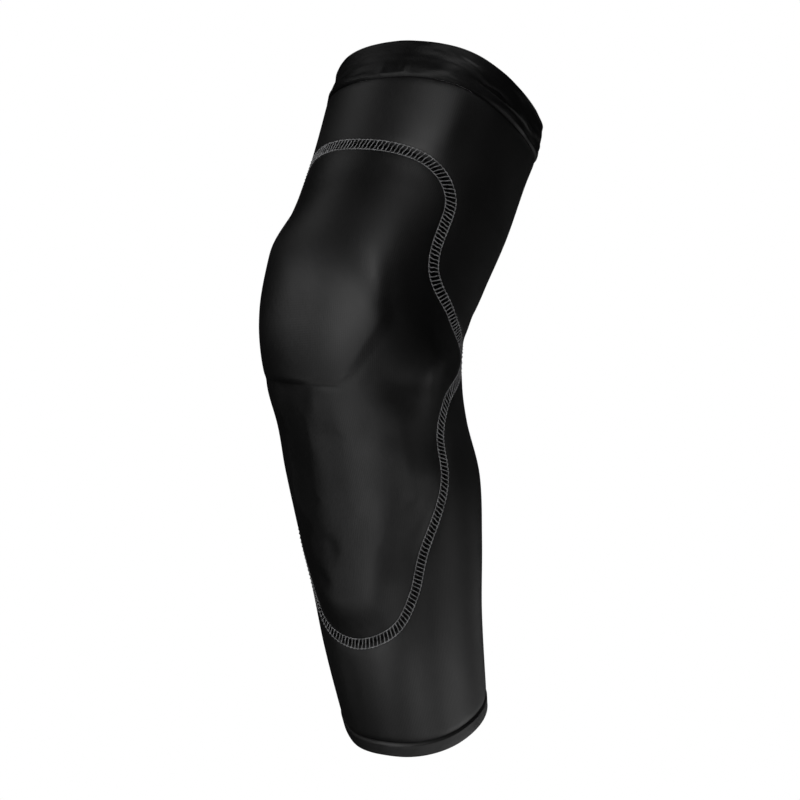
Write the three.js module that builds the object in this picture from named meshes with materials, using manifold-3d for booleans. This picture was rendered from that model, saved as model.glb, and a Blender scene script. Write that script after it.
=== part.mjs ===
// Mountain bike knee pad: a stretch sleeve worn from mid thigh to calf, with a foam-padded front panel sewn
// into it along one scalloped seam, a turned cuff on the thigh rim and a narrow hem on the calf rim.
// Millimetres, +Z up. The origin is the centre of the knee, the wearer faces -Y, and X runs across the leg.
import * as THREE from "three";
import { mergeVertices } from "three/addons/utils/BufferGeometryUtils.js";
import Module from "manifold-3d";

// Driving dimensions
const FABRIC = 1.5; // stretch knit wall
const SEAM_GAP = 0.3; // clearance between sewn neighbours
const CUFF_HEIGHT = 24; // turned band on the thigh rim
const CUFF_PROUD = 0.9; // how far the doubled cuff stands off the sleeve
const HEM_HEIGHT = 10; // turned hem on the calf rim
const HEM_PROUD = 0.7; // how far the doubled hem stands off the sleeve
const ROLL_CHAMFER = 0.3; // how far the corners of a rolled rim are cut back, as a share of its radius
const FOAM = 7; // foam under the knee cover, at its thickest
const FOAM_RAMP = 30; // width over which the foam thins out towards the seam
const FOAM_TOP = 108; // where the foam starts, measured down the leg
const FOAM_WRAP = 100; // how far round the leg the foam reaches, in degrees from the front
const SHIN_FOAM = 0.85; // share of the foam that runs on down the shin
const CREASE_ALONG = 200; // flex crease under the kneecap, measured down the leg
const CREASE_DEPTH = 1.6; // how far the crease sinks into the foam
const CREASE_WIDTH = 9; // how far the crease spreads up and down the leg

// Facets
const SIDES = 56; // round the leg
const ROW_STEP = 13; // down the leg
const EDGE_STEPS = 120; // round the panel seam
const PATCH_CELL = 10; // grid of the flat panel before it is wrapped
const WELD = 1e-4; // vertices closer than this are one

// The leg form, one row for each cross-section from the thigh rim down. up and behind place its centre from
// the knee, lean tips its plane (degrees, front edge up), and half, front and rear are its half width and its
// depths before and behind the centre.
const SECTIONS = [
  { place: "thigh rim", up: 150, behind: 88, lean: 25, half: 69, front: 69, rear: 65 },
  { place: "mid thigh", up: 83, behind: 52, lean: 27, half: 64.5, front: 70, rear: 72 },
  { place: "low thigh", up: 41, behind: 18, lean: 20, half: 62.5, front: 65, rear: 73 },
  { place: "kneecap", up: 3, behind: 0, lean: 9, half: 59, front: 54, rear: 68 },
  { place: "knee hollow", up: -28, behind: 0, lean: 1, half: 57, front: 50, rear: 67 },
  { place: "shin top", up: -57, behind: 10, lean: -5, half: 57, front: 50, rear: 60 },
  { place: "calf", up: -96, behind: 24, lean: -10, half: 58, front: 51, rear: 62 },
  { place: "low calf", up: -140, behind: 34, lean: -13, half: 55, front: 55, rear: 58 },
  { place: "shin end", up: -188, behind: 43, lean: -16, half: 51, front: 55, rear: 53 },
  { place: "calf rim", up: -252, behind: 61, lean: -20, half: 46, front: 51, rear: 46 },
];

// Right half of the panel seam from its top round to its bottom: along is the distance down the leg from the
// thigh rim, wrap is the angle round the leg from the front.
const PANEL_EDGE = [
  { place: "top", along: 73.5, wrap: 0 },
  { place: "top arch", along: 77, wrap: 43 },
  { place: "shoulder", along: 93, wrap: 60 },
  { place: "waist", along: 139, wrap: 66.5 },
  { place: "wing top", along: 161, wrap: 92 },
  { place: "wing", along: 188, wrap: 122 },
  { place: "wing foot", along: 211, wrap: 93 },
  { place: "shin waist", along: 231, wrap: 78 },
  { place: "shin swell", along: 260, wrap: 73 },
  { place: "taper", along: 303, wrap: 52 },
  { place: "toe side", along: 329, wrap: 44 },
  { place: "toe", along: 348, wrap: 31 },
  { place: "bottom", along: 357, wrap: 0 },
];

const wasm = await Module();
wasm.setup();

// Distance of each section down the leg, measured from centre to centre
SECTIONS.forEach((row, i) => {
  const above = SECTIONS[i - 1];
  row.along = above ? above.along + Math.hypot(row.up - above.up, row.behind - above.behind) : 0;
});
const LENGTH = SECTIONS.at(-1).along;

// Slope of a column at one section, from its neighbours
function slopeAt(column, i) {
  const before = SECTIONS[Math.max(i - 1, 0)];
  const after = SECTIONS[Math.min(i + 1, SECTIONS.length - 1)];
  return (after[column] - before[column]) / (after.along - before.along);
}

// A column of the leg form at any distance down the leg: a smooth cubic through the rows
function formAt(column, along) {
  const found = SECTIONS.findIndex((row) => row.along > along);
  const next = found < 0 ? SECTIONS.length - 1 : Math.max(found, 1);
  const top = SECTIONS[next - 1];
  const low = SECTIONS[next];
  const span = low.along - top.along;
  const t = (along - top.along) / span;
  const bend = t * t * (3 - 2 * t);
  const leave = t * (1 - t) * (1 - t) * span * slopeAt(column, next - 1);
  const arrive = t * t * (t - 1) * span * slopeAt(column, next);
  return top[column] * (1 - bend) + low[column] * bend + leave + arrive;
}

// A point at an angle round the leg (degrees from the front), a distance down it and a distance out of its
// surface
function legPoint(angle, along, out) {
  const turn = THREE.MathUtils.degToRad(angle);
  const half = formAt("half", along);
  const depth = formAt(Math.cos(turn) > 0 ? "front" : "rear", along);
  const across = new THREE.Vector2(half * Math.sin(turn), depth * Math.cos(turn));
  const outward = new THREE.Vector2(depth * Math.sin(turn), half * Math.cos(turn)).normalize();
  across.addScaledVector(outward, out);
  const lean = THREE.MathUtils.degToRad(formAt("lean", along));
  return new THREE.Vector3(
    across.x,
    formAt("behind", along) - across.y * Math.cos(lean),
    formAt("up", along) + across.y * Math.sin(lean),
  );
}

// The whole panel seam as a closed flat curve, x in degrees round the leg and y up it from the thigh rim
const rightKnots = PANEL_EDGE.map((row) => new THREE.Vector3(row.wrap, -row.along, 0));
const leftKnots = rightKnots.slice(1, -1).reverse().map((knot) => new THREE.Vector3(-knot.x, knot.y, 0));
const seamCurve = new THREE.CatmullRomCurve3([...rightKnots, ...leftKnots], true, "centripetal");
const seamPoints = seamCurve.getSpacedPoints(EDGE_STEPS).slice(0, EDGE_STEPS);

// The seam as a flat outline, moved outwards by a distance
function panelOutline(grow) {
  return seamPoints.map((point, i) => {
    const before = seamPoints.at(i - 1);
    const after = seamPoints[(i + 1) % EDGE_STEPS];
    const along = new THREE.Vector2(after.x - before.x, after.y - before.y).normalize();
    return new THREE.Vector2(point.x - along.y * grow, point.y + along.x * grow);
  });
}

// Distance from a flat point to the seam
function seamDistance(angle, along) {
  return Math.min(...seamPoints.map((point) => Math.hypot(point.x - angle, point.y + along)));
}

// Height of the padded face over the leg surface: foam that thins out to the seam, with a flex crease under
// the kneecap
function padHeight(angle, along) {
  const inset = THREE.MathUtils.smoothstep(seamDistance(angle, along), 0, FOAM_RAMP);
  const below = THREE.MathUtils.smoothstep(along, FOAM_TOP, FOAM_TOP + FOAM_RAMP);
  const within = THREE.MathUtils.smoothstep(FOAM_WRAP - Math.abs(angle), 0, FOAM_RAMP);
  const onShin = THREE.MathUtils.smoothstep(along, CREASE_ALONG, CREASE_ALONG + FOAM_RAMP);
  const foam = THREE.MathUtils.lerp(FOAM, FOAM * SHIN_FOAM, onShin);
  const crease = CREASE_DEPTH * Math.exp(-(((along - CREASE_ALONG) / CREASE_WIDTH) ** 2));
  return inset * below * within * (foam - crease);
}

// A three.js geometry as a closed solid, with its shared vertices merged
function solidFrom(geometry) {
  const bare = geometry.index ? geometry.toNonIndexed() : geometry.clone();
  bare.deleteAttribute("normal");
  bare.deleteAttribute("uv");
  const merged = mergeVertices(bare, WELD);
  return new wasm.Manifold(
    new wasm.Mesh({
      numProp: 3,
      vertProperties: merged.attributes.position.array,
      triVerts: new Uint32Array(merged.index.array),
    }),
  );
}

function geometryFrom(solid) {
  const made = solid.getMesh();
  const geometry = new THREE.BufferGeometry();
  geometry.setAttribute("position", new THREE.BufferAttribute(made.vertProperties, 3));
  geometry.setIndex(new THREE.BufferAttribute(made.triVerts, 1));
  geometry.computeVertexNormals();
  return geometry;
}

// Moves each vertex of a geometry by a function of its old place
function moved(geometry, place) {
  const position = geometry.attributes.position;
  const vertex = new THREE.Vector3();
  for (let i = 0; i < position.count; i++) {
    position.setXYZ(i, ...place(vertex.fromBufferAttribute(position, i)));
  }
  geometry.computeVertexNormals();
  return geometry;
}

// A band round the whole leg from a closed profile of {out, along} corners, turned on a lathe and then fitted
// to the leg
function legBand(profile) {
  const DRUM = 100; // lathe radius that stands for the leg surface
  const corners = profile.map(({ out, along }) => new THREE.Vector2(DRUM + out, -along));
  if (THREE.ShapeUtils.isClockWise(corners)) corners.reverse();
  const turned = new THREE.LatheGeometry([...corners, corners[0]], SIDES);
  return moved(turned, (vertex) => {
    const angle = THREE.MathUtils.radToDeg(Math.atan2(vertex.x, vertex.z));
    return legPoint(angle, -vertex.y, Math.hypot(vertex.x, vertex.z) - DRUM);
  });
}

// A patch inside a flat outline, cut from a gridded slab between two heights
function flatPatch(outline, low, high) {
  const box = new THREE.Box2().setFromPoints(outline).expandByScalar(PATCH_CELL);
  const size = box.getSize(new THREE.Vector2());
  const middle = box.getCenter(new THREE.Vector2());
  const columns = Math.ceil(size.x / PATCH_CELL);
  const rows = Math.ceil(size.y / PATCH_CELL);
  const slab = new THREE.BoxGeometry(size.x, size.y, high - low, columns, rows, 1);
  slab.translate(middle.x, middle.y, (low + high) / 2);
  const depth = 2 * (high - low); // the cutter passes right through the slab
  const cutter = new THREE.ExtrudeGeometry(new THREE.Shape(outline), { depth, bevelEnabled: false });
  cutter.translate(0, 0, (low + high - depth) / 2);
  return geometryFrom(solidFrom(slab).intersect(solidFrom(cutter)));
}

// Sleeve: one tube of stretch knit between the cuff and the hem, open at the front where the panel is sewn in
function sleeveGeometry() {
  const first = CUFF_HEIGHT + SEAM_GAP;
  const last = LENGTH - HEM_HEIGHT - SEAM_GAP;
  const rows = Math.round((last - first) / ROW_STEP);
  const down = Array.from({ length: rows + 1 }, (_, i) => first + ((last - first) * i) / rows);
  const outside = down.map((along) => ({ out: 0, along }));
  const inside = down.map((along) => ({ out: -FABRIC, along })).reverse();
  const tube = legBand([...outside, ...inside]);
  const reach = 5 * FABRIC; // the cutter passes well through the wall
  const opening = flatPatch(panelOutline(SEAM_GAP), -reach, reach);
  const cutter = moved(opening, (flat) => legPoint(flat.x, -flat.y, flat.z));
  return geometryFrom(solidFrom(tube).subtract(solidFrom(cutter)));
}

// Pad panel: face fabric over foam, flush with the sleeve along the seam and domed over the knee
function panelGeometry() {
  return moved(flatPatch(panelOutline(0), -FABRIC, 0), (flat) => {
    const raised = flat.z > -FABRIC / 2 ? padHeight(flat.x, -flat.y) : -FABRIC;
    return legPoint(flat.x, -flat.y, raised);
  });
}

// A turned band with a rolled rim: rim is the free edge, seam the edge that meets the sleeve
function turnedBand(rim, seam, proud) {
  const inward = Math.sign(seam - rim);
  const roll = (proud + FABRIC) / 2;
  const chamfer = roll * ROLL_CHAMFER;
  return legBand([
    { out: proud - roll, along: rim },
    { out: proud - chamfer, along: rim + inward * chamfer },
    { out: proud, along: rim + inward * roll },
    { out: proud, along: (rim + seam) / 2 },
    { out: proud, along: seam - inward * proud },
    { out: 0, along: seam },
    { out: -FABRIC, along: seam },
    { out: -FABRIC, along: (rim + seam) / 2 },
    { out: -FABRIC, along: rim + inward * roll },
    { out: chamfer - FABRIC, along: rim + inward * chamfer },
  ]);
}

const knit = new THREE.MeshStandardMaterial({ color: 0x1b1b1c, roughness: 0.62, metalness: 0 });
const padFace = new THREE.MeshStandardMaterial({ color: 0x1d1d1e, roughness: 0.55, metalness: 0 });
const cuffKnit = new THREE.MeshStandardMaterial({ color: 0x161617, roughness: 0.7, metalness: 0 });

function piece(name, geometry, material) {
  const mesh = new THREE.Mesh(geometry, material);
  mesh.name = name;
  return mesh;
}

const kneePad = new THREE.Group();
kneePad.add(
  piece("sleeve", sleeveGeometry(), knit),
  piece("pad_panel", panelGeometry(), padFace),
  piece("thigh_cuff", turnedBand(0, CUFF_HEIGHT, CUFF_PROUD), cuffKnit),
  piece("calf_hem", turnedBand(LENGTH, LENGTH - HEM_HEIGHT, HEM_PROUD), cuffKnit),
);

export default kneePad;
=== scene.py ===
from bisect import bisect_right
from collections import namedtuple
from math import ceil, copysign, cos, exp, hypot, pi, radians, sin, tau

import bmesh
import bpy
from mathutils import Matrix, Vector, geometry, kdtree, noise


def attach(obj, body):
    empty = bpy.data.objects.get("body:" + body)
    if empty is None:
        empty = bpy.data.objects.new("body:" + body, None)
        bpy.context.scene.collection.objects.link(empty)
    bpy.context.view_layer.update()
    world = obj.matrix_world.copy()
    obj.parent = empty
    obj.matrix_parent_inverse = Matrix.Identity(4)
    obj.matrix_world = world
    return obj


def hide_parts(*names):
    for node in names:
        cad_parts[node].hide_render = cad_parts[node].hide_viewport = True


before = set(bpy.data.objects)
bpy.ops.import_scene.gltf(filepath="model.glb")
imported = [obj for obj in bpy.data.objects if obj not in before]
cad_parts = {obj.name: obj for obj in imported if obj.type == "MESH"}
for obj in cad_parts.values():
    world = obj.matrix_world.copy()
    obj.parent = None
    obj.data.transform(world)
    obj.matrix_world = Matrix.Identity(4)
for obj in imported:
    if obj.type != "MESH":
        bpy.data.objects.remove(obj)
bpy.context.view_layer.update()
scene = bpy.context.scene

# Sleeve: the leg tube between the cuff and the hem, cut from one piece of nylon and elastane stretch knit.
# It is pulled tight over the form of a bent leg, and its front is cut out along one scalloped line, where the
# padded panel is sewn in edge to edge.
MM = 0.001
FABRIC = 1.5  # knit wall
SEAM_GAP = 0.002  # clearance between sewn neighbours
CUFF_HEIGHT = 24  # turned band on the thigh rim
HEM_HEIGHT = 10  # turned hem on the calf rim
SLEEVE_CELL = 2.0  # grid of the flat cut
ARC = 1.05  # millimetres of cloth for each degree round the leg
GROOVE = 0.55  # how far the seam pulls the cloth in
GROOVE_WIDTH = 4.2  # how far that, and the painted shade along the seam, reach to each side of the seam
JOINT_DEPTH = 0.6  # how far the joints with the cuff and the hem pull the cloth in
JOINT_WIDTH = 1.6  # how far that, and the painted shade of the joint, reach from the joint
JOINT_SHADE = 0.7  # how dark the painted shade in the joints is, next to that of the panel seam

# The leg form, one row for each cross-section from the thigh rim down: where its centre lies from the knee,
# how far its plane leans (degrees, front edge up), its half width and its depths before and behind the centre
LegSection = namedtuple("LegSection", "place up behind lean half front rear")
LEG_FORM = [
    LegSection("thigh rim", 150, 88, 25, 69, 69, 65),
    LegSection("mid thigh", 83, 52, 27, 64.5, 70, 72),
    LegSection("low thigh", 41, 18, 20, 62.5, 65, 73),
    LegSection("kneecap", 3, 0, 9, 59, 54, 68),
    LegSection("knee hollow", -28, 0, 1, 57, 50, 67),
    LegSection("shin top", -57, 10, -5, 57, 50, 60),
    LegSection("calf", -96, 24, -10, 58, 51, 62),
    LegSection("low calf", -140, 34, -13, 55, 55, 58),
    LegSection("shin end", -188, 43, -16, 51, 55, 53),
    LegSection("calf rim", -252, 61, -20, 46, 51, 46),
]
leg_rows = [Vector(row[1:]) for row in LEG_FORM]
leg_along = [0.0]
for above, below in zip(LEG_FORM, LEG_FORM[1:]):
    leg_along.append(leg_along[-1] + hypot(below.up - above.up, below.behind - above.behind))
LEG_LENGTH = leg_along[-1]

# Right half of the panel seam from its top round to its bottom: the distance down the leg from the thigh rim
# and the angle round the leg from the front
SeamKnot = namedtuple("SeamKnot", "place along wrap")
PANEL_EDGE = [
    SeamKnot("top", 73.5, 0),
    SeamKnot("top arch", 77, 43),
    SeamKnot("shoulder", 93, 60),
    SeamKnot("waist", 139, 66.5),
    SeamKnot("wing top", 161, 92),
    SeamKnot("wing", 188, 122),
    SeamKnot("wing foot", 211, 93),
    SeamKnot("shin waist", 231, 78),
    SeamKnot("shin swell", 260, 73),
    SeamKnot("taper", 303, 52),
    SeamKnot("toe side", 329, 44),
    SeamKnot("toe", 348, 31),
    SeamKnot("bottom", 357, 0),
]

# Soft folds of the cloth: where each is, how far it slants round the leg for each millimetre down it, how far
# it reaches to each side and how high it stands
Fold = namedtuple("Fold", "place angle along slant left right above below height")
SLEEVE_FOLDS = [
    Fold("edge of the thigh muscle", 46, 46, 0, 16, 8, 24, 22, 1.3),
    Fold("flare behind the thigh", 118, 20, 0, 22, 24, 18, 18, 2.2),
    Fold("hollow behind the thigh", 120, 86, 0, 24, 24, 34, 30, -1.2),
    Fold("cuff drawn in on the inner side", -56, 6, 0, 26, 22, 16, 11, -2.2),
    Fold("swell inside the shin", -47, 292, 0, 22, 14, 38, 34, 3.8),
    Fold("hollow inside the calf", -9, 386, 0, 8, 9, 30, 40, -0.8),
    Fold("upper crease behind the knee", 180, 152, 0, 46, 46, 5, 7, -1.1),
    Fold("middle crease behind the knee", 176, 172, 0, 52, 52, 5, 6, -1.3),
    Fold("lower crease behind the knee", 184, 194, 0, 44, 44, 6, 5, -1.1),
]
CUFF_DIP = Fold("cuff joint that lies lower over the front", -8, CUFF_HEIGHT, 0, 32, 28, 12, 22, 3)
RIM_SLACK = 70  # how far from a rim its wave still shifts the cloth
THIGH_RISE = 13.7  # how far the thigh rim stands up before the outer side
THIGH_SINK = 10.5  # how far its sides and front lie below its back, without that
CALF_FRONT = 1.8  # how far the calf rim is drawn up over the shin
CALF_INNER = 6  # how far it is drawn up on the inner side
CALF_DROP = 3.2  # how far it hangs down on the outer side
WELD = 0.01  # vertices closer than this are one


def leg_slope(i):
    """How the leg form changes down the leg at one row, from its neighbours."""
    before = max(i - 1, 0)
    after = min(i + 1, len(leg_rows) - 1)
    return (leg_rows[after] - leg_rows[before]) / (leg_along[after] - leg_along[before])


def leg_row(along):
    """Every column of the leg form at any distance down the leg: a smooth cubic through the rows."""
    low = min(max(bisect_right(leg_along, along), 1), len(leg_rows) - 1)
    top = low - 1
    span = leg_along[low] - leg_along[top]
    t = (along - leg_along[top]) / span
    bend = t * t * (3 - 2 * t)
    leave = leg_slope(top) * (t * (1 - t) ** 2 * span)
    arrive = leg_slope(low) * (t * t * (t - 1) * span)
    return leg_rows[top] * (1 - bend) + leg_rows[low] * bend + leave + arrive


def smoothstep(low, high, x):
    t = min(max((x - low) / (high - low), 0), 1)
    return t * t * (3 - 2 * t)


def swell(x, middle, before, after):
    """A smooth bump of height 1, with its own width before and after the middle."""
    width = before if x < middle else after
    return exp(-(((x - middle) / width) ** 2))


def fold_height(folds, angle, along):
    """How high a set of folds stands at a point of the leg."""
    height = 0
    for fold in folds:
        aside = angle - fold.angle - fold.slant * (along - fold.along)
        aside = (aside + 180) % 360 - 180
        height += (
            fold.height
            * swell(aside, 0, fold.left, fold.right)
            * swell(along, fold.along, fold.above, fold.below)
        )
    return height


def thigh_rim(angle):
    """The thigh rim waves: it stands up before the outer side of the thigh and sinks towards both sides."""
    sides = smoothstep(-180, -60, angle) * smoothstep(180, 100, angle)
    return THIGH_RISE * swell(angle, 36, 78, 42) - THIGH_SINK * sides


def calf_rim(angle):
    """The calf rim hangs lower on the outer side and is drawn up on the inner side of the shin."""
    outer = smoothstep(5, 70, angle) * smoothstep(180, 120, angle)
    drawn_up = CALF_FRONT * swell(angle, 0, 50, 22) + CALF_INNER * swell(angle, -50, 60, 18)
    return drawn_up - CALF_DROP * outer


def leg_point(angle, along, out):
    """A point at an angle round the leg, a distance down it and a distance out of its surface, in metres."""
    out += fold_height(SLEEVE_FOLDS, angle, along)
    along -= thigh_rim(angle) * smoothstep(RIM_SLACK, 0, along)
    along -= calf_rim(angle) * smoothstep(LEG_LENGTH - RIM_SLACK, LEG_LENGTH, along)
    along += fold_height([CUFF_DIP], angle, along)
    up, behind, lean, half, front, rear = leg_row(along)
    turn = radians(angle)
    depth = front if cos(turn) > 0 else rear
    across = Vector((half * sin(turn), depth * cos(turn)))
    across += Vector((depth * sin(turn), half * cos(turn))).normalized() * out
    tip = radians(lean)
    return Vector((across.x, behind - across.y * cos(tip), up + across.y * sin(tip))) * MM


# The seam on the flat pattern, x in degrees round the leg and y up it from the thigh rim, as a closed
# centripetal spline through the knots
SEAM_STEPS = 70  # points on each stretch between two knots
right_knots = [Vector((knot.wrap, -knot.along)) for knot in PANEL_EDGE]
left_knots = [Vector((-knot.x, knot.y)) for knot in reversed(right_knots[1:-1])]
seam_knots = right_knots + left_knots
seam = []
for i, start in enumerate(seam_knots):
    before = seam_knots[i - 1]
    end = seam_knots[(i + 1) % len(seam_knots)]
    after = seam_knots[(i + 2) % len(seam_knots)]
    lead, span, trail = ((b - a).length ** 0.5 for a, b in ((before, start), (start, end), (end, after)))
    leave = (start - before) / lead - (end - before) / (lead + span) + (end - start) / span
    arrive = (end - start) / span - (after - start) / (span + trail) + (after - end) / trail
    stretch = geometry.interpolate_bezier(
        start, start + leave * span / 3, end - arrive * span / 3, end, SEAM_STEPS + 1
    )
    seam += [point.to_2d() for point in stretch[:-1]]
seam_tree = kdtree.KDTree(len(seam))
for i, point in enumerate(seam):
    seam_tree.insert(point.to_3d(), i)
seam_tree.balance()


def seam_offset(flat):
    """Distance of a flat point from the panel seam, above zero outside the panel."""
    near, i, distance = seam_tree.find((flat.x, flat.y, 0))
    ahead = seam[(i + 1) % len(seam)] - seam[i - 1]
    return copysign(distance, ahead.cross(flat.to_2d() - near.to_2d()))


def seam_pull_and_painted_shade(flat):
    """Share of the seam's pull, 1 on the stitches and 0 away: the groove's depth and the painted shade's."""
    return exp(-((seam_offset(flat) / GROOVE_WIDTH) ** 2))


def flat_cut(low, high, cell, inside):
    """A flat gridded cloth between two corners, cut along the panel seam: the part inside it or the rest."""
    cloth = bmesh.new()
    size = high - low
    place = Matrix.Translation(((low + high) / 2).to_3d()) @ Matrix.Diagonal((size.x / 2, size.y / 2, 1, 1))
    columns, rows = (ceil(length / cell) for length in size)
    bmesh.ops.create_grid(cloth, x_segments=columns, y_segments=rows, size=1, matrix=place)
    offset = {vert: seam_offset(vert.co) for vert in cloth.verts}
    for edge in cloth.edges:
        first, second = edge.verts
        if offset[first] * offset[second] < 0:
            near = min(edge.verts, key=lambda vert: abs(offset[vert]))
            near.co = seam_tree.find(near.co)[0]
            offset[near] = 0
    bmesh.ops.connect_verts(cloth, verts=[vert for vert in cloth.verts if offset[vert] == 0])
    waste = []
    for face in cloth.faces:
        furthest = max((offset[vert] for vert in face.verts), key=abs)
        if (furthest < 0) != inside:
            waste.append(face)
    bmesh.ops.delete(cloth, geom=waste, context="FACES")
    pattern = cloth.loops.layers.uv.new("pattern")
    for face in cloth.faces:
        face.smooth = True
        for loop in face.loops:
            loop[pattern].uv = Vector((loop.vert.co.x * ARC, loop.vert.co.y)) * MM
    # Each vertex keeps the seam's pull, which also sets how much painted shade the knit gets there
    pull = cloth.verts.layers.float.new("seam_pull_and_painted_shade")
    for vert in cloth.verts:
        vert[pull] = seam_pull_and_painted_shade(vert.co)
    return cloth


SHARP_EDGE = 55  # degrees between two faces, past which their edge is not shaded smooth


def add_piece(name, mesh_data, material):
    """A finished bmesh as an object that rides on the body."""
    mesh = bpy.data.meshes.new(name)
    mesh_data.to_mesh(mesh)
    mesh_data.free()
    mesh.set_sharp_from_angle(angle=radians(SHARP_EDGE))
    mesh.materials.append(material)
    piece = bpy.data.objects.new(name, mesh)
    scene.collection.objects.link(piece)
    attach(piece, "root")
    return piece


def linear(colour):
    """An sRGB hex colour as linear red, green, blue and alpha."""
    shares = [int(colour[i : i + 2], 16) / 255 for i in (1, 3, 5)]
    return [s / 12.92 if s <= 0.04045 else ((s + 0.055) / 1.055) ** 2.4 for s in shares] + [1]


def add_node(material, kind, inputs, **settings):
    """Adds a node: settings are its properties, inputs its sockets, each a value or another node's output."""
    node = material.node_tree.nodes.new(kind)
    for name, value in settings.items():
        setattr(node, name, value)
    for name, value in inputs.items():
        if isinstance(value, bpy.types.NodeSocket):
            material.node_tree.links.new(value, node.inputs[name])
        else:
            node.inputs[name].default_value = value
    return node


WAVE_PERIOD = pi / 10 * 1000  # scale of a wave texture, in metres, times its period in millimetres
MOTTLE = 45  # size of the uneven patches in the knit
GRAIN = 1.6  # size of the uneven loops
COURSES = 1.4  # rows of loops for each wale


def stretch_knit(name, colour, roughness, shine, wale):
    """Nylon and elastane warp knit: filament yarn that shines softly in long satin highlights, with fine
    ribs up the leg. The ribs of such a knit are about 0.4 mm apart and are drawn coarser so that they show.
    The IOR is above that of nylon, matched to the strong shine of the dark cloth. Painted shade makes the
    cloth darker and duller where a seam pulls it in, and along the joints, the flex crease and deep folds."""
    knit = bpy.data.materials.new(name)
    knit.use_nodes = True
    knit.node_tree.nodes.clear()
    flat = add_node(knit, "ShaderNodeUVMap", {}, uv_map="pattern").outputs["UV"]
    place = add_node(knit, "ShaderNodeTexCoord", {}).outputs["Object"]
    mottle = add_node(knit, "ShaderNodeTexNoise", {"Vector": place, "Scale": 1000 / MOTTLE, "Detail": 4.0})
    grain = add_node(knit, "ShaderNodeTexNoise", {"Vector": place, "Scale": 1000 / GRAIN, "Detail": 2.0})
    wales = add_node(
        knit, "ShaderNodeTexWave", {"Vector": flat, "Scale": WAVE_PERIOD / wale}, bands_direction="X"
    )
    courses = add_node(
        knit,
        "ShaderNodeTexWave",
        {"Vector": flat, "Scale": WAVE_PERIOD / wale * COURSES},
        bands_direction="Y",
    )
    loops = add_node(
        knit,
        "ShaderNodeMath",
        {0: courses.outputs["Fac"], 1: 0.45, 2: wales.outputs["Fac"]},
        operation="MULTIPLY_ADD",
    )
    yarn = add_node(
        knit,
        "ShaderNodeMath",
        {0: grain.outputs["Fac"], 1: 0.9, 2: loops.outputs["Value"]},
        operation="MULTIPLY_ADD",
    )
    relief = add_node(
        knit, "ShaderNodeBump", {"Height": yarn.outputs["Value"], "Strength": 0.22, "Distance": 0.12 * MM}
    )
    worn = add_node(
        knit,
        "ShaderNodeMapRange",
        {"Value": mottle.outputs["Fac"], "From Min": 0.3, "From Max": 0.7, "To Min": 0.82, "To Max": 1.15},
    )
    # Painted shade: the attribute darkens the cloth's colour and dulls its shine in seams, joints, the flex
    # crease and deep folds
    painted_shade_share = add_node(knit, "ShaderNodeAttribute", {}, attribute_name="seam_pull_and_painted_shade").outputs["Fac"]
    shade = add_node(
        knit,
        "ShaderNodeMapRange",
        {"Value": painted_shade_share, "From Min": 0.0, "From Max": 1.0, "To Min": 1.0, "To Max": 0.12},
    )
    mottle_and_painted_shade = add_node(
        knit,
        "ShaderNodeMath",
        {0: worn.outputs["Result"], 1: shade.outputs["Result"]},
        operation="MULTIPLY",
    )
    base_colour = add_node(
        knit,
        "ShaderNodeMix",
        {"Factor": mottle_and_painted_shade.outputs["Value"], "A": linear("#000000"), "B": linear(colour)},
        data_type="RGBA",
        clamp_factor=False,
    )
    gloss = add_node(
        knit,
        "ShaderNodeMapRange",
        {
            "Value": mottle.outputs["Fac"],
            "From Min": 0.3,
            "From Max": 0.7,
            "To Min": roughness + 0.05,
            "To Max": roughness - 0.05,
        },
    )
    lustre = add_node(
        knit,
        "ShaderNodeMapRange",
        {"Value": painted_shade_share, "From Min": 0.3, "From Max": 1.0, "To Min": shine, "To Max": shine * 0.08},
    )
    surface = add_node(
        knit,
        "ShaderNodeBsdfPrincipled",
        {
            "Base Color": base_colour.outputs["Result"],
            "Roughness": gloss.outputs["Result"],
            "IOR": 1.8,
            "Specular IOR Level": lustre.outputs["Result"],
            "Normal": relief.outputs["Normal"],
        },
    )
    add_node(knit, "ShaderNodeOutputMaterial", {"Surface": surface.outputs["BSDF"]})
    return knit


sleeve_low = Vector((-180, HEM_HEIGHT - LEG_LENGTH))
sleeve_high = Vector((180, -CUFF_HEIGHT))


def joint_pull(along):
    """Share of the joints' pull, 1 at the cuff and hem joints and 0 away: for depth and painted shade."""
    nearest = min(along - CUFF_HEIGHT, LEG_LENGTH - HEM_HEIGHT - along)
    return exp(-((nearest / JOINT_WIDTH) ** 2))


cloth = flat_cut(sleeve_low, sleeve_high, SLEEVE_CELL, inside=False)
pull = cloth.verts.layers.float["seam_pull_and_painted_shade"]
for vert in cloth.verts:
    along = -vert.co.y
    joint = joint_pull(along)
    sunk = GROOVE * vert[pull] + JOINT_DEPTH * joint
    # painted shade along the joints with the cuff and the hem
    vert[pull] = max(vert[pull], JOINT_SHADE * joint)
    vert.co = leg_point(vert.co.x, along, -sunk)
bmesh.ops.remove_doubles(cloth, verts=cloth.verts, dist=WELD * MM)
sleeve_area = sum(face.calc_area() for face in cloth.faces)
bmesh.ops.solidify(cloth, geom=cloth.faces[:], thickness=FABRIC * MM)
sleeve = add_piece("sleeve_knit", cloth, stretch_knit("black_nylon_knit", "#0a0a0b", 0.46, 0.6, 1.2))
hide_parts("sleeve")

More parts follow.
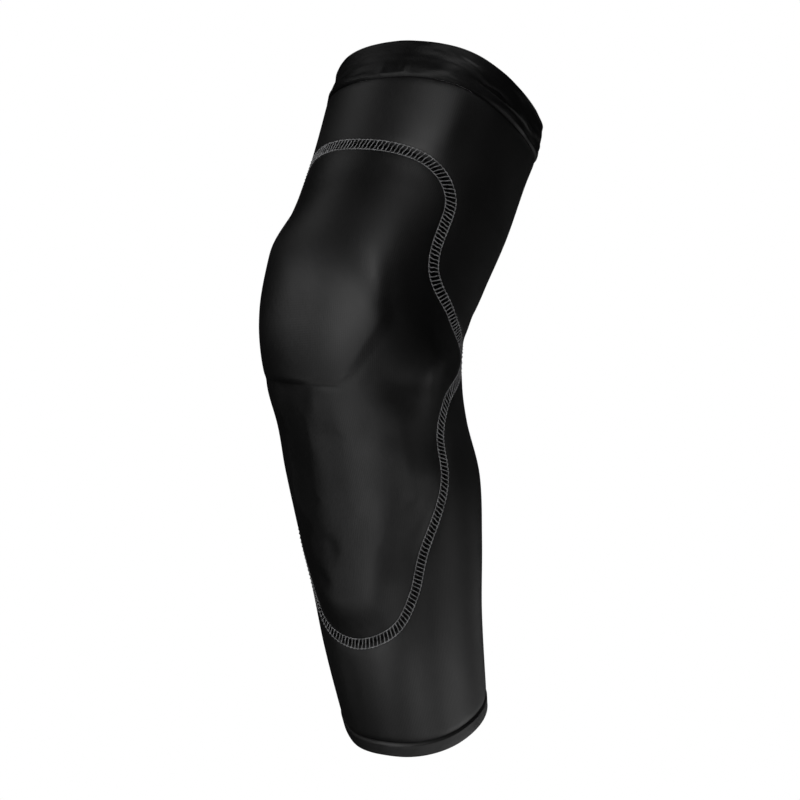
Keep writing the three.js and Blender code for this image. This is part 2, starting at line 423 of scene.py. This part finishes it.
# Padded panel: a smooth knit face over soft foam that thins out to the seam, on a knit backing. The foam is
# thickest over the kneecap, stops at a flex crease under it and runs on thinner down the shin.
FOAM = 7  # foam over the knee
FOAM_RAMP = 30  # width over which the foam thins out towards the seam
FOAM_TOP = 108  # where the foam starts, measured down the leg
FOAM_WRAP = 100  # how far round the leg the foam reaches, in degrees from the front
SHIN_FOAM = 0.85  # share of the foam that runs on down the shin
CREASE_ALONG = 200  # flex crease under the kneecap, measured down the leg
CREASE_DEPTH = 0.4  # how far the crease sinks into the foam
CREASE_WIDTH = 6  # how far the crease spreads up and down the leg
CREASE_SHADE_WIDTH = 1.4  # width of the painted shade line along the crease
CREASE_SHADE = 0.5  # how dark that painted shade line is, next to the painted shade of the panel seam
PLATE_STEP = 1.6  # how far the thick foam over the kneecap stands over the rest
PLATE_CUT = 43  # how far its lower edge is cut away on the outer side
PLATE_SLOPE = 1.5  # half width of that edge over the front
OUTER_SLOPE = 4  # how much wider it gets on the outer side
PLATE_RISE = 27  # how far above the crease the thick foam has its full height
FOAM_EASE = 22  # how much further the foam thins out at each end of its upper ramp, over the front
PANEL_CELL = 2.0  # grid of the flat cut
FILL_PRESSURE = 3  # how hard the foam presses the face out
FACE_STIFFNESS = 20  # how hard the face is to stretch or squeeze
FACE_BENDING = 2  # how hard the face is to bend
FILL_STEPS = 16  # steps of the simulation
SWELL_LIMIT = 1.0  # most that the face moves when the foam fills it

SIDE_EDGE = Fold("side edge of the kneecap foam", 36, 158, 0.28, 15, 8, 24, 18, 1.6)
KNEE_FOLDS = [
    Fold("dip above the kneecap", -56, 100, 0, 20, 24, 12, 14, -1.5),
    Fold("swell under the top seam", 20, 104, 0, 32, 26, 17, 26, 1.1),
    Fold("flat front of the kneecap", -3, 166, 0, 22, 20, 26, 22, -1.8),
    Fold("inner side of the kneecap", -38, 174, 0, 13, 12, 26, 18, 1.0),
    SIDE_EDGE,
    Fold("hollow beside the kneecap", 66, 155, 0, 16, 24, 26, 20, -1.3),
    Fold("fold under the side edge", 53, 203, 0.7, 15, 24, 17, 18, -2.0),
]
SHIN_FOLDS = [
    Fold("inner edge of the shin", -2, 240, -0.13, 7, 18, 120, 70, 1.5),
    Fold("flank inside the shin", -28, 244, -0.13, 13, 18, 120, 66, -2.8),
    Fold("outer edge of the shin", 44, 238, 0.1, 18, 8, 28, 22, 1.2),
    Fold("lower outer edge of the shin", 22, 284, -0.5, 18, 16, 18, 28, 0.8),
    Fold("hollow beside the shin", 58, 266, -0.35, 14, 12, 26, 26, -0.7),
    Fold("dent under the kneecap", 30, 223, 0, 7, 7, 8, 8, -0.5),
    Fold("dent low on the shin", -7, 297, 0, 12, 8, 9, 8, -2.2),
    Fold("dimple over the toe", -16, 317, 0.4, 7, 7, 7, 7, -1.1),
]


def plate_edge(angle):
    """How far down the leg the thick foam ends: level across the shin, cut away upwards on the outer side."""
    return CREASE_ALONG - PLATE_CUT * smoothstep(14, 60, angle)


def crease_painted_shade(angle, along):
    """How much painted shade the flex crease line has at a point, as a share of the seam's."""
    across = smoothstep(-80, -55, angle) * smoothstep(26, 14, angle)
    return CREASE_SHADE * across * swell(along, plate_edge(angle) + 1, CREASE_SHADE_WIDTH, CREASE_SHADE_WIDTH)


def pad_height(flat):
    """Height of the padded face over the leg surface."""
    angle = flat.x
    along = -flat.y
    offset = seam_offset(flat)
    inset = smoothstep(0, FOAM_RAMP, -offset)
    # The foam starts gently over the front of the thigh and more steeply on its inner side
    gentle = FOAM_EASE * smoothstep(-45, 5, angle)
    below = smoothstep(FOAM_TOP - gentle, FOAM_TOP + FOAM_RAMP + gentle, along)
    within = smoothstep(0, FOAM_RAMP, FOAM_WRAP - abs(angle))
    on_shin = smoothstep(CREASE_ALONG, CREASE_ALONG + FOAM_RAMP, along)
    foam = FOAM * (1 - on_shin) + FOAM * SHIN_FOAM * on_shin
    crease = CREASE_DEPTH * exp(-(((along - CREASE_ALONG) / CREASE_WIDTH) ** 2))
    # The thick foam over the kneecap ends at the crease and at the side edge, and fades out elsewhere
    side = SIDE_EDGE.angle + SIDE_EDGE.slant * (along - SIDE_EDGE.along)
    slope = PLATE_SLOPE + OUTER_SLOPE * smoothstep(18, 36, angle)
    above_crease = smoothstep(-slope, slope, plate_edge(angle) - along)
    before_side = smoothstep(side + 9, side - 1, angle)
    faded = smoothstep(-75, -30, angle) * smoothstep(FOAM_TOP, CREASE_ALONG - PLATE_RISE, along)
    plate = PLATE_STEP * above_crease * before_side * faded
    folds = fold_height(KNEE_FOLDS, angle, along)
    folds += fold_height(SHIN_FOLDS, angle, along) * smoothstep(-1, 3, along - plate_edge(angle))
    return inset * (below * within * (foam - crease + plate) + folds)


panel_reach = Vector((max(knot.wrap for knot in PANEL_EDGE) + PANEL_CELL, 0))
panel_low = Vector((0, -PANEL_EDGE[-1].along - PANEL_CELL)) - panel_reach
panel_high = Vector((0, -PANEL_EDGE[0].along + PANEL_CELL)) + panel_reach
cloth = flat_cut(panel_low, panel_high, PANEL_CELL, inside=True)
face_side = bmesh.ops.extrude_face_region(cloth, geom=cloth.faces[:])["geom"]
face_verts = {item for item in face_side if isinstance(item, bmesh.types.BMVert)}
pull = cloth.verts.layers.float["seam_pull_and_painted_shade"]
pins = []
for vert in cloth.verts:
    flat = vert.co.copy()
    free = vert in face_verts and seam_offset(flat) < -GROOVE_WIDTH
    pins.append(0.0 if free else 1.0)
    out = pad_height(flat) if vert in face_verts else -FABRIC
    vert.co = leg_point(flat.x, -flat.y, out - GROOVE * vert[pull])
    # A painted shade line along the flex crease on the face
    if vert in face_verts:
        vert[pull] = max(vert[pull], crease_painted_shade(flat.x, -flat.y))
panel = add_piece("pad_cover", cloth, stretch_knit("black_pad_knit", "#0a0a0b", 0.44, 0.5, 1.1))
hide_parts("pad_panel")


def fill_pad(pad, pins, limit):
    """Lets the foam press the face out, held where the panel is sewn and backed, and keeps the result."""
    sewn = pad.vertex_groups.new(name="sewn")
    for i, weight in enumerate(pins):
        sewn.add([i], weight, "REPLACE")
    press = pad.modifiers.new("press", "CLOTH")
    press.settings.vertex_group_mass = "sewn"
    press.settings.use_pressure = True
    press.settings.uniform_pressure_force = FILL_PRESSURE
    press.settings.tension_stiffness = FACE_STIFFNESS
    press.settings.compression_stiffness = FACE_STIFFNESS
    press.settings.bending_stiffness = FACE_BENDING
    press.settings.effector_weights.gravity = 0
    for step in range(1, FILL_STEPS + 1):
        scene.frame_set(step)
    filled = pad.evaluated_get(bpy.context.evaluated_depsgraph_get()).data
    for vert, moved in zip(pad.data.vertices, filled.vertices):
        shift = moved.co - vert.co
        vert.co += shift * min(1, limit * MM / max(shift.length, 1e-9))
    pad.modifiers.remove(press)
    pad.vertex_groups.remove(sewn)
    scene.frame_set(1)


fill_pad(panel, pins, SWELL_LIMIT)
smooth = panel.modifiers.new("smooth", "SUBSURF")
smooth.levels = 1
smooth.render_levels = 1

# Thigh cuff: a strip of the same knit folded double over the thigh rim and joined to the sleeve along a
# narrow groove. It grips the leg, so it gathers in fine creases that run round the band.
CUFF_PROUD = 0.7  # how far the doubled cuff stands off the sleeve
CUFF_LAYER = 1.05  # one layer of the fold
CREASES = 0.6  # height of the fine creases round the band
CREASE_GAP = 4.2  # about how far apart they lie across the band
CREASE_BREAKS = 4.5  # how often they change round the leg
TURN_SHORT = 5  # how much shorter the inner layer of the fold is
TUCK = 2.2  # how much of the outer layer curls in to the joint
SHADE_FROM = 0.8  # depth at which a fold starts to get painted shade
SHADE_FULL = 2.4  # depth at which its painted shade is as dark as a seam's

CUFF_FOLDS = [
    Fold("dip under the rim", -8, 7, 0, 40, 30, 4, 8, -1.2),
    Fold("lower roll on the inner side", -14, 21, 0, 26, 14, 3, 4, 0.8),
    Fold("bulge over the joint", 36, 18, 0, 8, 9, 4, 4, 1.6),
    Fold("slanting ridge", 49, 10, 2.2, 6, 5, 5, 5, 1.3),
    Fold("deep fold on the outer side", 64, 15.5, 0, 11, 10, 2.4, 1.4, -3.0),
    Fold("roll under the deep fold", 70, 19, 0, 14, 16, 2.5, 3, 0.6),
    Fold("slack at the outer side", 97, 15, 0, 9, 12, 9, 8, -1.0),
    Fold("first tuck in the joint", 2, 20, 0, 1.8, 1.8, 4, 5, 0.7),
    Fold("second tuck in the joint", 14, 19, 0, 1.8, 1.8, 4, 5, 0.8),
]
BAND_STEPS = 60  # rows across a folded strip
BAND_SIDES = 240  # columns round the leg


def folded_band(rim, joint, proud, layer, crease):
    """A strip folded double over a rim, as a tube round the leg: rim is the folded edge, joint the edge that
    meets the sleeve, crease a function of the angle round the leg and the distance from the rim."""
    strip = bmesh.new()
    bmesh.ops.create_grid(
        strip,
        x_segments=BAND_SIDES,
        y_segments=BAND_STEPS,
        size=1,
        matrix=Matrix.Diagonal((180, 1, 1, 1)),
    )
    pattern = strip.loops.layers.uv.new("pattern")
    pull = strip.verts.layers.float.new("seam_pull_and_painted_shade")
    inward = copysign(1, joint - rim)
    roll = (proud + FABRIC) / 2
    height = abs(joint - rim) - roll - SEAM_GAP
    for face in strip.faces:
        face.smooth = True
        for loop in face.loops:
            flat = loop.vert.co
            loop[pattern].uv = Vector((flat.x * ARC, flat.y * (height + roll))) * MM
    for vert in strip.verts:
        angle, share, _ = vert.co
        run = height if share > 0 else height - TURN_SHORT
        walked = abs(share) * (run + roll * pi / 2)
        turn = min(walked / roll, pi / 2)
        up = roll * (1 - cos(turn)) + max(walked - roll * pi / 2, 0)
        out = proud - roll + copysign(roll, share) * sin(turn)
        if share > 0:
            tuck = smoothstep(height + roll - TUCK, height + roll, up)
            fold = crease(angle, up) * (1 - tuck)
            out += fold - (proud + JOINT_DEPTH) * tuck
            # Painted shade in the tucked joint and in deep folds
            vert[pull] = max(JOINT_SHADE * tuck, smoothstep(SHADE_FROM, SHADE_FULL, -fold))
        vert.co = leg_point(angle, rim + inward * up, out)
    bmesh.ops.remove_doubles(strip, verts=strip.verts, dist=WELD * MM)
    if inward > 0:
        bmesh.ops.reverse_faces(strip, faces=strip.faces)
    bmesh.ops.solidify(strip, geom=strip.faces[:], thickness=layer * MM)
    return strip


def cuff_crease(angle, up):
    """Folds and fine creases that run round the cuff."""
    round_leg = Vector((sin(radians(angle)), cos(radians(angle)), 0)) * CREASE_BREAKS
    fine = noise.noise(round_leg + Vector((0, 0, up / CREASE_GAP)))
    return fold_height(CUFF_FOLDS, angle, up) + CREASES * fine


band = folded_band(0, CUFF_HEIGHT, CUFF_PROUD, CUFF_LAYER, cuff_crease)
cuff = add_piece("thigh_cuff_band", band, stretch_knit("black_cuff_knit", "#080809", 0.44, 0.29, 1.0))
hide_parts("thigh_cuff")

# Calf hem: the knit turned up double round the calf rim and joined along a groove. It is narrow and lies
# smooth.
HEM_PROUD = 0.45  # how far the doubled hem stands off the sleeve
HEM_LAYER = 0.95  # one layer of the fold
HEM_WAVES = 0.12  # height of its faint waves
HEM_WAVE_GAP = 6  # about how far apart they lie across the hem
HEM_WAVE_BREAKS = 2  # how often they change round the leg


def hem_crease(angle, up):
    """Faint waves in the hem."""
    round_leg = Vector((sin(radians(angle)), cos(radians(angle)), 0)) * HEM_WAVE_BREAKS
    return HEM_WAVES * noise.noise(round_leg + Vector((0, 0, up / HEM_WAVE_GAP)))


band = folded_band(LEG_LENGTH, LEG_LENGTH - HEM_HEIGHT, HEM_PROUD, HEM_LAYER, hem_crease)
hem = add_piece("calf_hem_band", band, stretch_knit("black_hem_knit", "#0a0a0b", 0.48, 0.65, 1.0))
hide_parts("calf_hem")

# Flatlock seam: grey polyester thread that joins the panel to the sleeve edge to edge. Two lines of stitches
# run along the seam, and a covering thread crosses between them in slanted rungs.
SEAM_WIDTH = 6.4  # between the two lines of stitches
STITCH = 2.6  # length of one stitch
THREAD = 0.62  # thread diameter
RUNG_SLANT = 0.9  # how far the ends of a rung lie ahead of its middle and behind it
RUNG_LIFT = 0.25  # how high those ends lie, in thread diameters
RUNG_ARCH = 0.3  # how much higher the middle lies
RUNG_POINTS = 5  # points on each rung
LINE_LIFT = 0.1  # mean height of a line of stitches, in thread diameters
LINE_DIP = 0.6  # how far a line rises and dips with each stitch
LINE_POINTS = 4  # points on each stitch of a line
LINT = 2.4  # size of the uneven patches in the thread


def seam_place(i, aside, lift):
    """A point beside a seam point: aside in millimetres across the seam, lift over the cloth."""
    ahead = (seam[(i + 1) % len(seam)] - seam[i - 1]).normalized()
    flat = seam[i] + Vector((-ahead.y / ARC, ahead.x)) * aside
    height = -GROOVE * seam_pull_and_painted_shade(flat)
    if aside < 0:
        height += pad_height(flat)
    return leg_point(flat.x, -flat.y, height + lift)


seam_run = [0.0]
for i in range(len(seam)):
    step = seam_place((i + 1) % len(seam), 0, 0) - seam_place(i, 0, 0)
    seam_run.append(seam_run[-1] + step.length / MM)
stitch_count = round(seam_run[-1] / STITCH)


def seam_index(run):
    """The seam point at a distance along the sewn seam."""
    return bisect_right(seam_run, run % seam_run[-1]) % len(seam)


thread_path = bpy.data.curves.new("flatlock_path", "CURVE")
thread_path.dimensions = "3D"
thread_path.bevel_depth = THREAD / 2 * MM
thread_path.bevel_resolution = 1


def lay_thread(points, closed):
    spline = thread_path.splines.new("POLY")
    spline.points.add(len(points) - 1)
    for place, point in zip(spline.points, points):
        place.co = (*point, 1)
    spline.use_cyclic_u = closed


pitch = seam_run[-1] / stitch_count
for side in (-1, 1):
    line = []
    for step in range(stitch_count * LINE_POINTS):
        run = step * pitch / LINE_POINTS
        dip = cos(tau * step / LINE_POINTS)
        lift = THREAD * (LINE_LIFT - LINE_DIP * dip)
        line.append(seam_place(seam_index(run), side * SEAM_WIDTH / 2, lift))
    lay_thread(line, closed=True)
for stitch in range(stitch_count):
    rung = []
    for step in range(RUNG_POINTS):
        share = step / (RUNG_POINTS - 1)
        run = stitch * pitch + RUNG_SLANT * (share - 0.5) * 2
        arch = sin(pi * share)
        aside = (share - 0.5) * SEAM_WIDTH
        rung.append(seam_place(seam_index(run), aside, THREAD * (RUNG_LIFT + RUNG_ARCH * arch)))
    lay_thread(rung, closed=False)


def sewing_thread(name, colour):
    """Textured polyester sewing thread: matt, slightly fuzzy, with a ply twist too fine to show."""
    thread = bpy.data.materials.new(name)
    thread.use_nodes = True
    thread.node_tree.nodes.clear()
    place = add_node(thread, "ShaderNodeTexCoord", {}).outputs["Object"]
    lint = add_node(thread, "ShaderNodeTexNoise", {"Vector": place, "Scale": 1000 / LINT, "Detail": 3.0})
    shade = add_node(
        thread,
        "ShaderNodeMapRange",
        {"Value": lint.outputs["Fac"], "From Min": 0.3, "From Max": 0.7, "To Min": 0.45, "To Max": 1.2},
    )
    base_colour = add_node(
        thread,
        "ShaderNodeMix",
        {"Factor": shade.outputs["Result"], "A": linear("#000000"), "B": linear(colour)},
        data_type="RGBA",
        clamp_factor=False,
    )
    surface = add_node(
        thread,
        "ShaderNodeBsdfPrincipled",
        {"Base Color": base_colour.outputs["Result"], "Roughness": 0.7, "IOR": 1.5, "Sheen Weight": 0.2},
    )
    add_node(thread, "ShaderNodeOutputMaterial", {"Surface": surface.outputs["BSDF"]})
    return thread


path_object = bpy.data.objects.new("flatlock_path", thread_path)
thread_mesh = bpy.data.meshes.new_from_object(path_object)
bpy.data.objects.remove(path_object)
thread_mesh.materials.clear()
thread_mesh.materials.append(sewing_thread("grey_polyester_thread", "#bebec0"))
thread = bpy.data.objects.new("flatlock_thread", thread_mesh)
scene.collection.objects.link(thread)
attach(thread, "root")

# Studio: a round white sweep that curves up into a wall on every side, soft boxes all round and a camera
# slightly above the knee, about a tenth of a turn to the wearer's left. Its sizes are in metres.
SWEEP_FLOOR = -0.6  # height of the floor
SWEEP_FLAT = 3.0  # radius of the flat floor
SWEEP_CURVE = 1.5  # radius of the curve up into the wall
SWEEP_WALL = 5.0  # height of the top of the wall
SWEEP_STEPS = 12  # points on the curve
SWEEP_SIDES = 64  # steps round the sweep
ROOM_LIGHT = 0.004  # strength of the light from all round
sweep_mesh = bmesh.new()
profile = [sweep_mesh.verts.new((0, 0, SWEEP_FLOOR)), sweep_mesh.verts.new((SWEEP_FLAT, 0, SWEEP_FLOOR))]
for step in range(1, SWEEP_STEPS + 1):
    turn = step / SWEEP_STEPS * pi / 2
    rise = SWEEP_FLOOR + SWEEP_CURVE * (1 - cos(turn))
    profile.append(sweep_mesh.verts.new((SWEEP_FLAT + SWEEP_CURVE * sin(turn), 0, rise)))
profile.append(sweep_mesh.verts.new((SWEEP_FLAT + SWEEP_CURVE, 0, SWEEP_WALL)))
edges = [sweep_mesh.edges.new(pair) for pair in zip(profile, profile[1:])]
bmesh.ops.spin(
    sweep_mesh,
    geom=profile + edges,
    cent=(0, 0, 0),
    axis=(0, 0, 1),
    angle=tau,
    steps=SWEEP_SIDES,
    use_merge=True,
)
bmesh.ops.remove_doubles(sweep_mesh, verts=sweep_mesh.verts, dist=MM)
bmesh.ops.recalc_face_normals(sweep_mesh, faces=sweep_mesh.faces)
for face in sweep_mesh.faces:
    face.smooth = True
sweep_data = bpy.data.meshes.new("white_sweep")
sweep_mesh.to_mesh(sweep_data)
sweep_mesh.free()
sweep = bpy.data.objects.new("white_sweep", sweep_data)
scene.collection.objects.link(sweep)
paper = bpy.data.materials.new("white_paper")
paper.use_nodes = True
paper.node_tree.nodes.clear()
glow = add_node(paper, "ShaderNodeEmission", {"Color": linear("#ffffff"), "Strength": 1.0})
add_node(paper, "ShaderNodeOutputMaterial", {"Surface": glow.outputs["Emission"]})
sweep_data.materials.append(paper)
sweep.visible_diffuse = False
sweep.visible_glossy = False
sweep.visible_shadow = False

world = bpy.data.worlds.new("dim_room")
scene.world = world
world.use_nodes = True
world.node_tree.nodes["Background"].inputs["Color"].default_value = linear("#ffffff")
world.node_tree.nodes["Background"].inputs["Strength"].default_value = ROOM_LIGHT

# Where each box stands round the knee, in degrees and metres, its size and its power in watts
SoftBox = namedtuple("SoftBox", "place azimuth elevation distance width height power")
SOFT_BOXES = [
    SoftBox("key", 4, 5, 1.3, 1.1, 0.9, 3.0),
    SoftBox("inner_fill", -45, 12, 1.3, 0.5, 0.5, 0.9),
    SoftBox("high_inner", -70, 45, 1.3, 0.8, 0.6, 0.5),
    SoftBox("top", 42, 38, 1.3, 0.7, 0.5, 1.6),
    SoftBox("high_back", 140, 65, 1.3, 0.5, 0.5, 1.3),
    SoftBox("low_inner", -40, -35, 1.3, 0.5, 0.5, 0.35),
    SoftBox("low_front", 8, -40, 1.3, 0.6, 0.5, 1.0),
    SoftBox("low_outer", 68, -52, 1.3, 0.6, 0.5, 0.7),
    SoftBox("low_back", 130, -44, 1.3, 0.9, 0.5, 1.3),
    SoftBox("outer_rim", 168, 22, 1.3, 0.4, 0.4, 0.3),
    SoftBox("low_rim", 171, -28, 1.3, 0.4, 0.4, 0.2),
]


def round_point(azimuth, elevation, distance):
    """A point round the object: azimuth 0 is in front of the knee and 90 on its +X side."""
    level = cos(radians(elevation)) * distance
    turn = radians(azimuth)
    return Vector((level * sin(turn), -level * cos(turn), distance * sin(radians(elevation))))


for box in SOFT_BOXES:
    light = bpy.data.lights.new(box.place, "AREA")
    light.shape = "RECTANGLE"
    light.size = box.width
    light.size_y = box.height
    light.energy = box.power
    lamp = bpy.data.objects.new(box.place, light)
    lamp.location = round_point(box.azimuth, box.elevation, box.distance)
    lamp.rotation_euler = (-lamp.location).to_track_quat("-Z", "Y").to_euler()
    lamp.visible_camera = False
    scene.collection.objects.link(lamp)

VIEW_AZIMUTH = 34  # degrees
VIEW_ELEVATION = 5  # degrees
VIEW_DISTANCE = 1.2
SENSOR_WIDTH = 36  # millimetres
FRAME_PIXELS = 800  # width and height of the frame
KNEE_PIXEL = Vector((365, 336))  # where the knee centre stands in the frame
PIXEL = 0.615 * MM  # size of a pixel at the knee
camera_data = bpy.data.cameras.new("camera")
camera_data.sensor_width = SENSOR_WIDTH
camera_data.lens = SENSOR_WIDTH * VIEW_DISTANCE / (FRAME_PIXELS * PIXEL)
camera = bpy.data.objects.new("camera", camera_data)
camera.location = round_point(VIEW_AZIMUTH, VIEW_ELEVATION, VIEW_DISTANCE)
to_right = Vector((cos(radians(VIEW_AZIMUTH)), sin(radians(VIEW_AZIMUTH)), 0))
to_top = camera.location.normalized().cross(to_right)
middle = (Vector((FRAME_PIXELS, FRAME_PIXELS)) / 2 - KNEE_PIXEL) * PIXEL
aim = to_right * middle.x - to_top * middle.y
camera.rotation_euler = (aim - camera.location).to_track_quat("-Z", "Y").to_euler()
scene.collection.objects.link(camera)
scene.camera = camera
scene.view_settings.view_transform = "Standard"
